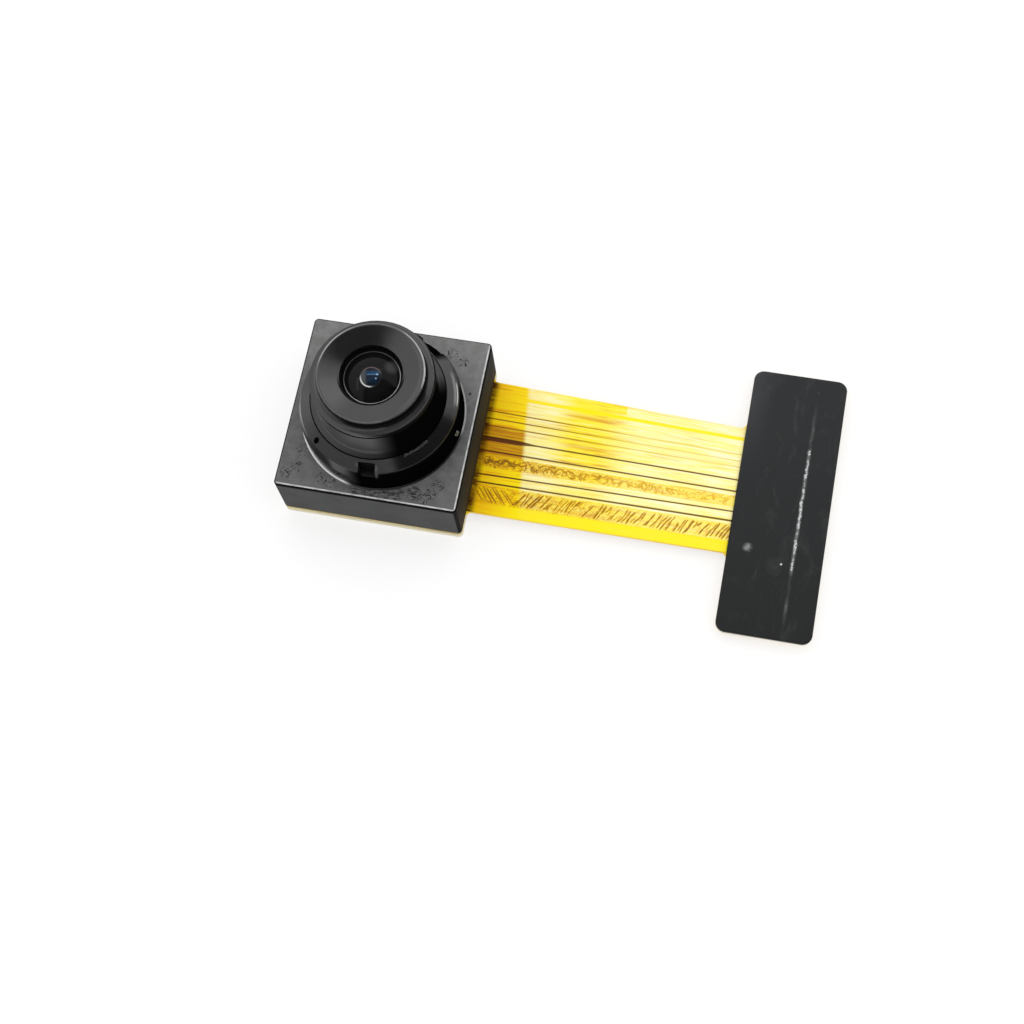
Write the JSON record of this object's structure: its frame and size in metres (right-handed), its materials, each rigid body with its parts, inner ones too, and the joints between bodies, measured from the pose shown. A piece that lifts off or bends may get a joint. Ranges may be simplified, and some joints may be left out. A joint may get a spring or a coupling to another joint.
{
  "type": "camera module",
  "caption": "Small fixed focus camera head: square housing with a notched collar round a stepped lens barrel, on a flat amber flex that ends in a wide stiffened contact tail.",
  "frame": {"origin": "on the optical axis, at the back face of the head", "axes": "+Z out of the lens along the optical axis, +X along the flex from the head to the contact tail, +Y across the flex"},
  "size_m": [0.0241, 0.0125, 0.0074],
  "materials": {
    "holder_plastic": "black moulded, satin",
    "barrel_plastic": "black moulded, satin",
    "bezel_plastic": "black, fine satin dish",
    "spacer_black": "black matt",
    "lens_glass": "polished, coated",
    "filter_glass": "pale cyan",
    "cover_glass": "clear",
    "clear_glue": "clear glossy glue",
    "bond_glue": "black glue",
    "silicon": "polished silicon",
    "solder": "bright tin alloy",
    "capacitor_ceramic": "tan ceramic",
    "copper": "bright copper",
    "gold_plate": "gold plated",
    "polyimide_front": "amber film, glossy",
    "polyimide_core": "amber film",
    "epoxy_glass": "pale yellow laminate",
    "stiffener_black": "charcoal black, satin"
  },
  "bodies": {
    "root": {"lens_holder": "holder_plastic", "lens_barrel": "barrel_plastic", "lens_retainer": "barrel_plastic", "front_bezel": "bezel_plastic", "front_spacer": "spacer_black", "aperture_stop": "spacer_black", "rear_spacer": "spacer_black", "front_element": "lens_glass", "second_element": "lens_glass", "third_element": "lens_glass", "rear_element": "lens_glass", "infrared_filter": "filter_glass", "sensor_cover_glass": "cover_glass", "thread_glue": "clear_glue", "holder_adhesive": "bond_glue", "sensor_dam": "bond_glue", "sensor_die": "silicon", "solder_balls": "solder", "capacitor_terminals": "solder", "capacitor_bodies": "capacitor_ceramic", "component_pads": "copper", "ground_copper": "copper", "signal_traces": "copper", "contact_fingers": "gold_plate", "coverlay_front": "polyimide_front", "base_film": "polyimide_core", "coverlay_back": "polyimide_core", "back_plate": "epoxy_glass", "tail_stiffener": "stiffener_black"}
  },
  "joints": []
}
